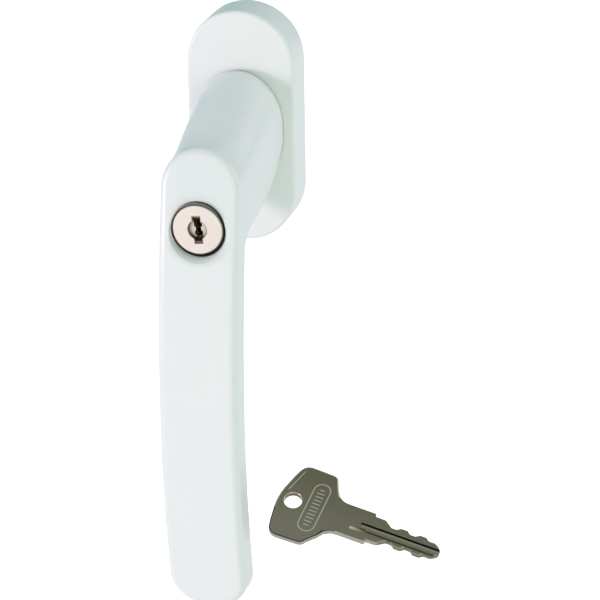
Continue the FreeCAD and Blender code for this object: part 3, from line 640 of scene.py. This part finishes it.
# The key: stamped from 2 mm nickel silver, its grooves milled and its two edges cut alike, nickel
# plated and worn. The bow has a hole and a coined panel with plain grip bars in a raised border.
# Sizes are in millimetres along it from the hole (u) and across it (v); a groove is (v, width, u, length).
half_thickness = 1.0
ring_hole_radius = 2.8
bow_outline = [
    (-4.8, 1.3), (-4.55, 3.2), (-3.3, 8.6), (-2.6, 11.0), (-1.85, 12.4), (-0.75, 13.2), (0.6, 13.5),
    (4.5, 13.42), (8.0, 13.3), (8.9, 13.05), (9.5, 12.55), (9.95, 11.7), (11.6, 8.9), (12.9, 6.9),
    (13.5, 6.4), (14.3, 5.85), (15.3, 5.5), (17.0, 5.4),
]
shoulder = 25.6
shank_outline = [(21.0, 5.4), (shoulder - 0.15, 5.4), (shoulder, 5.28), (shoulder + 0.25, 4.4)]
blade_start_outline = [(28.7, 4.3), (29.3, 4.24)]
blade_cuts = (2.45, 3.35, 2.4, 3.3, 2.4)
cut_pitch = 3.1
first_cut = 32.57
cut_floor_half = 0.55
cut_ramp_half = 0.95
cut_ramp_rise = 0.06
tip_outline = [(46.9, 2.0), (47.8, 1.35), (48.3, 0.75), (48.4, 0.55)]
bow_tilt = 0.055
bow_droop = 0.02
bow_tilted_to = 10.0
bow_end = 14.0
bow_round = 0.42
edge_round = 0.14
main_width = 1.5
main_start = 22.6
grooves = ((0.0, main_width, main_start, 30.0), (-2.05, 0.8, 19.6, 30.0), (-1.95, 1.5, 19.55, 5.0))
groove_depth = 0.5
rim_line_place = (-2.8, 3.1, 0.0)
rim_line_turn = math.radians(74.1)
rim_line_length = 8.4
rim_line_width = 0.26
rim_line_depth = 0.1
clear_of_key = 1.0
panel_start = 4.3
panel_length = 5.6
panel_width = 18.0
panel_corner = 2.6
panel_inner_corner = 2.2
border_width = 0.42
raised_height = 0.1
raised_root = 0.4
raised_round = 0.09
grip_bar_count = 11
grip_bar_pitch = 1.32
grip_bar_length = 2.6
end_bar_length = 1.8
key_place = Vector((13.78, -11.22, -120.95)) * mm
key_turned = (
    Matrix.Rotation(math.radians(16.06), 4, "Z") @ Matrix.Rotation(math.radians(32.62), 4, "X")
    @ Matrix.Rotation(math.radians(-23.77), 4, "Z")
)


def cut_outline():
    """The stepped edge of the blade, with one flat-floored cut for each wafer."""
    steps = []
    for index, cut in enumerate(blade_cuts):
        centre = first_cut + cut_pitch * index
        steps += [(centre - cut_ramp_half, cut + cut_ramp_rise), (centre - cut_floor_half, cut)]
        steps += [(centre + cut_floor_half, cut), (centre + cut_ramp_half, cut + cut_ramp_rise)]
    return steps


def flat_from(name, outline):
    """A flat plate that starts as one narrow quad and grows edge by edge along its outline."""
    (first_u, first_v), (second_u, second_v) = outline[:2]
    middle = (first_u + second_u) / 2
    bpy.ops.object.select_all(action="DESELECT")
    bpy.ops.mesh.primitive_plane_add(size=1.0, location=(middle, 0.0, 0.0))
    plate = named(name)
    plate.scale = (second_u - first_u, 2 * first_v, 1.0)
    apply_place(plate)
    for vertex in plate.data.vertices:
        vertex.select = vertex.co.x > middle
    for edge in plate.data.edges:
        edge.select = all(plate.data.vertices[v].select for v in edge.vertices)
    plate.data.polygons[0].select = False
    bpy.ops.object.mode_set(mode="EDIT")
    bpy.ops.mesh.select_mode(type="EDGE")
    bpy.ops.transform.resize(value=(1.0, second_v / first_v, 1.0), center_override=(second_u, 0.0, 0.0))
    at = second_u
    half = second_v
    for u, v in outline[2:]:
        bpy.ops.mesh.extrude_region_move(TRANSFORM_OT_translate={"value": (u - at, 0.0, 0.0)})
        bpy.ops.transform.resize(value=(1.0, v / half, 1.0), center_override=(u, 0.0, 0.0))
        at = u
        half = v
    bpy.ops.object.mode_set(mode="OBJECT")
    return plate


def rims_bow_face(a, b):
    """Whether an edge with these two ends runs round a face of the bow."""
    return abs(a.z + b.z) > 1.9 * half_thickness and max(a.x, b.x) < bow_end


def heights(side, below, above):
    """Lowest and highest level of a block from below one face of the key to above it."""
    return sorted((side * (half_thickness - below), side * (half_thickness + above)))


def key_bar(name, u, v, length, width, low, high, corner=0.0):
    """Upright block on the key, with rounded corners if asked."""
    block = box(name, (u, v - width / 2, low), (u + length, v + width / 2, high))
    if corner:
        bevel_edges(block, lambda a, b: abs(a.z - b.z) > 0.5 * (high - low), corner, segments=8)
    return block


def coined_panel(side):
    """Raised border and grip bars on one face of the bow."""
    low, high = heights(side, raised_root, raised_height)
    border = key_bar("border", panel_start, 0.0, panel_length, panel_width, low, high, panel_corner)
    inside = key_bar(
        "inside", panel_start + border_width, 0.0, panel_length - 2 * border_width,
        panel_width - 2 * border_width, -3 * half_thickness, 3 * half_thickness, panel_inner_corner,
    )
    carve(border, inside)
    round_edges(border, raised_round)
    pieces = [border]
    last = grip_bar_count // 2
    for place in range(-last, last + 1):
        length = end_bar_length if abs(place) == last else grip_bar_length
        start = panel_start + panel_length / 2 - length / 2
        grip_bar = key_bar("grip_bar", start, place * grip_bar_pitch, length, border_width, low, high)
        round_edges(grip_bar, raised_round)
        pieces.append(grip_bar)
    return pieces


key_outline = bow_outline + shank_outline + blade_start_outline + cut_outline() + tip_outline
key = flat_from("key_silver", key_outline)
for vertex in key.data.vertices:
    if vertex.co.x < bow_tilted_to:
        vertex.co.x += bow_tilt * vertex.co.y - bow_droop * abs(vertex.co.y)
only(key)
bpy.ops.object.mode_set(mode="EDIT")
bpy.ops.mesh.select_all(action="SELECT")
bpy.ops.mesh.dissolve_limited(angle_limit=0.001)
bpy.ops.mesh.extrude_region_move(TRANSFORM_OT_translate={"value": (0.0, 0.0, 2 * half_thickness)})
bpy.ops.mesh.select_all(action="SELECT")
bpy.ops.mesh.normals_make_consistent(inside=False)
bpy.ops.object.mode_set(mode="OBJECT")
key.data.transform(Matrix.Translation((0.0, 0.0, -half_thickness)))
bevel_edges(key, rims_bow_face, bow_round, segments=4)
bpy.ops.object.select_all(action="DESELECT")
bpy.ops.mesh.primitive_cylinder_add(vertices=72, radius=ring_hole_radius, depth=6 * half_thickness)
carve(key, named("ring_hole"))
round_edges(key, edge_round, segments=3, angle=0.45)
for side in (1, -1):
    for v, width, start, length in grooves:
        low, high = heights(side, groove_depth, clear_of_key)
        carve(key, key_bar("groove", start, side * v, length, width, low, high))
for side in (1, -1):
    low, high = heights(side, rim_line_depth, clear_of_key)
    rim_line = key_bar("rim_line", 0.0, 0.0, rim_line_length, rim_line_width, low, high)
    rim_line.data.transform(Matrix.Translation(rim_line_place) @ Matrix.Rotation(rim_line_turn, 4, "Z"))
    carve(key, rim_line)
for side in (1, -1):
    join_to(key, *coined_panel(side))
smooth(key, 0.5)
key.data.transform(Matrix.Translation(key_place) @ key_turned @ Matrix.Scale(mm, 4))

# Painted light on the key: a darker upper side and lighter lower side, highlights on its edges and panel,
# a lit lower flank, and shade on the bow's flanks and in the main groove.
plating_dark = (0.20, 0.187, 0.115)
plating_light = (0.275, 0.255, 0.182)
worn_brass = (0.80, 0.70, 0.42)
# The bright edge is partly wear and partly a painted highlight; the lower flank's colour is painted light.
worn_and_highlit_edge = (0.80, 0.76, 0.64)
lit_lower_flank = (0.52, 0.46, 0.42)
hole_brown = (0.24, 0.16, 0.11)
scratch_scale = (220.0, 3000.0, 900.0)
lower_side_v = -4.0
shaded_line_end = 16.0
bare_from_u = 19.0
bare_to_u = 24.8
bare_from_v = 1.1
bare_to_v = 3.0


def edge_wear_and_painted_light(finish, plated, u, v, level):
    """Worn rounded edges and raised panel brightened by painted highlights, painted light on the lower
    flanks, painted shade on the bow's flanks and along its lower rounded edge, and brown in its hole.
    """
    raised = level > half_thickness + raised_height / 2
    rounded_edge = level.between(half_thickness - edge_round, half_thickness - 0.003)
    flank = level < half_thickness - edge_round
    lower = v < lower_side_v
    bright = raised * 0.65 + rounded_edge * ((u < shoulder) * 0.55 + 0.3)
    hole_wall = flank * ((u * u + v * v) < (ring_hole_radius + 0.1) ** 2)
    # Painted shade on the flanks round the bow.
    plated = finish.tint(flank * (u < bow_end) * 0.5, plated, scaled(plating_dark, 0.35))
    # Painted light on the lower flanks.
    plated = finish.tint(flank * lower * 0.8, plated, lit_lower_flank)
    # Worn edges and raised panel, brightened further by painted highlights.
    plated = finish.tint(bright.limit(), plated, worn_and_highlit_edge)
    # Painted shade along the bow's lower rounded edge.
    plated = finish.tint(rounded_edge * lower * (u < shaded_line_end), plated, scaled(plating_dark, 0.2))
    return finish.tint(hole_wall, plated, hole_brown)


def groove_wear_and_painted_light(finish, plated, u, v, level, scratches, tarnish):
    """Painted shade on the main groove's walls and along both edges of its floor, a lighter scratched
    floor that is partly painted light, and bare metal where the side one starts.
    """
    floor_level = half_thickness - groove_depth
    floor = level.between(floor_level - 0.15, floor_level + 0.05)
    wall = level.between(floor_level + 0.03, half_thickness - edge_round)
    grooved = u > main_start - 0.6
    middle = floor * (abs(v) < main_width / 2 + 0.05) * grooved
    middle_wall = wall * (abs(v) < main_width / 2 + 0.15) * grooved
    side_start = floor * abs(v).between(bare_from_v, bare_to_v) * u.between(bare_from_u, bare_to_u)
    fading = (u * (-1.0 / 3.4) + 7.0).limit()
    # Painted shade on the groove's walls and along both edges of its floor; the floor's lighter tone is
    # partly painted light.
    plated = finish.tint(middle_wall, plated, scaled(plating_dark, 0.15))
    plated = finish.tint(middle * (0.4 + scratches), plated, scaled(plating_light, 1.35))
    plated = finish.tint(middle * (v > 0.3), plated, scaled(plating_dark, 0.1))
    plated = finish.tint(middle * (v < -0.5), plated, scaled(plating_dark, 0.3))
    return finish.tint((side_start * fading * (1.4 - tarnish)).limit(), plated, worn_brass)


def key_plating(name):
    """Tarnished nickel with scratches along the blade, with painted light and shade, read in the key's own
    millimetres.
    """
    finish = Finish(name, metallic=1.0)
    laid = {"Location": tuple(key_place), "Rotation": tuple(key_turned.to_euler())}
    where = finish.add("ShaderNodeMapping", {"vector_type": "TEXTURE"}, {"Vector": finish.place(), **laid})
    stretched = finish.add("ShaderNodeMapping", None, {"Vector": where, "Scale": scratch_scale})
    scratches = finish.noise(scale=1.0, detail=4.0, where=stretched)
    tarnish = finish.noise(scale=260.0, detail=3.0)
    u, v, height = (part * (1.0 / mm) for part in finish.axes(where))
    level = abs(height)
    # Painted shade: the plating is darker towards the key's upper side and lighter towards its lower side,
    # with tarnish in patches.
    plated = finish.tint(v * (-1.0 / 20.0) + 0.35 + tarnish * 0.3, plating_dark, plating_light)
    plated = edge_wear_and_painted_light(finish, plated, u, v, level)
    finish.drive("Base Color", groove_wear_and_painted_light(finish, plated, u, v, level, scratches, tarnish))
    finish.drive("Roughness", 0.24 + scratches * 0.14 + tarnish * 0.06)
    finish.bump(scratches, strength=0.25, distance=0.01 * mm)
    return finish.material


fit_out(key, key_plating("key_nickel"), "loose_key", "key")


# The stage: a white floor below the object, a cool world that is brighter above, three soft lamps to
# the left, the right and the side, and the camera where the photograph was taken from.
floor_drop = 0.03
floor_size = 6.0
floor_white = (0.80, 0.82, 0.82, 1.0)
floor_glow = 0.17
glow_in_camera = 0.7
glow_in_gloss = 0.15
level_light = (0.16, 0.44, 0.36)
top_light = (0.578, 0.604, 0.644)
plain_white = (1.0, 1.0, 1.0)

low, high = cad_box
bpy.ops.object.select_all(action="DESELECT")
bpy.ops.mesh.primitive_plane_add(size=floor_size, location=(0.0, 0.0, low[2] - floor_drop))
floor = named("floor")
floor_look = Finish("floor_white")
floor_look.fix("Base Color", floor_white)
floor_look.fix("Roughness", 0.9)
floor_look.fix("Emission Strength", 1.0)
in_camera = floor_look.add("ShaderNodeLightPath", output="Is Camera Ray")
in_gloss = floor_look.add("ShaderNodeLightPath", output="Is Glossy Ray")
floor_look.drive("Emission Color", in_camera * glow_in_camera + in_gloss * glow_in_gloss + floor_glow)
floor.data.materials.append(floor_look.material)

world = bpy.data.worlds.new("studio")
bpy.context.scene.world = world
world.use_nodes = True
sky = Nodes(world.node_tree, "Background")
direction = sky.add("ShaderNodeTexCoord", output="Generated")
lifted = sky.add("ShaderNodeMapRange", None, {"Value": sky.axes(direction)[2], "From Min": -1.0})
light = sky.ramp(lifted, ((0.5, level_light), (1.0, top_light)))
in_camera = sky.add("ShaderNodeLightPath", output="Is Camera Ray")
sky.drive("Color", sky.tint(in_camera, light, plain_white))

lamp_aim = Vector((0.0, -0.03, -0.06))
lamp_distance = 1.5
lamp_size = 0.9
lamps = (
    ("left_lamp", -45.0, -7.0, 26.0, (1.0, 0.73, 0.9)),
    ("right_lamp", 30.0, 0.0, 6.1, (1.0, 0.83, 0.61)),
    ("side_lamp", 110.0, 25.0, 5.4, (1.0, 0.72, 0.86)),
)


def outward(azimuth, elevation):
    """Direction from the object, in radians from the front and from level."""
    level = math.cos(elevation)
    return Vector((math.sin(azimuth) * level, -math.cos(azimuth) * level, math.sin(elevation)))


def soft_lamp(name, azimuth, elevation, watts, colour):
    """Round area lamp aimed at the object."""
    out = outward(math.radians(azimuth), math.radians(elevation))
    light = bpy.data.lights.new(name, "AREA")
    light.shape = "DISK"
    light.size = lamp_size
    light.energy = watts
    light.color = colour
    holder = bpy.data.objects.new(name, light)
    turned = out.to_track_quat("Z", "Y").to_matrix().to_4x4()
    holder.matrix_world = Matrix.Translation(lamp_aim + out * lamp_distance) @ turned
    bpy.context.scene.collection.objects.link(holder)


for lamp in lamps:
    soft_lamp(*lamp)

camera_place = Vector((0.26492, -0.87071, 0.30150))
camera_azimuth = math.radians(16.087)
camera_elevation = math.radians(21.657)
camera_roll = math.radians(-0.935)
camera_lens = 192.38
camera_sensor = 36.0
away = outward(camera_azimuth, camera_elevation)
level_right = Vector((math.cos(camera_azimuth), math.sin(camera_azimuth), 0.0))
level_up = away.cross(level_right)
right = level_right * math.cos(camera_roll) + level_up * math.sin(camera_roll)
up = level_up * math.cos(camera_roll) - level_right * math.sin(camera_roll)
camera_data = bpy.data.cameras.new("camera")
camera_data.sensor_width = camera_sensor
camera_data.lens = camera_lens
camera = bpy.data.objects.new("camera", camera_data)
camera.matrix_world = Matrix.Translation(camera_place) @ Matrix((right, up, away)).transposed().to_4x4()
bpy.context.scene.collection.objects.link(camera)
bpy.context.scene.camera = camera
bpy.context.scene.view_settings.view_transform = "Standard"
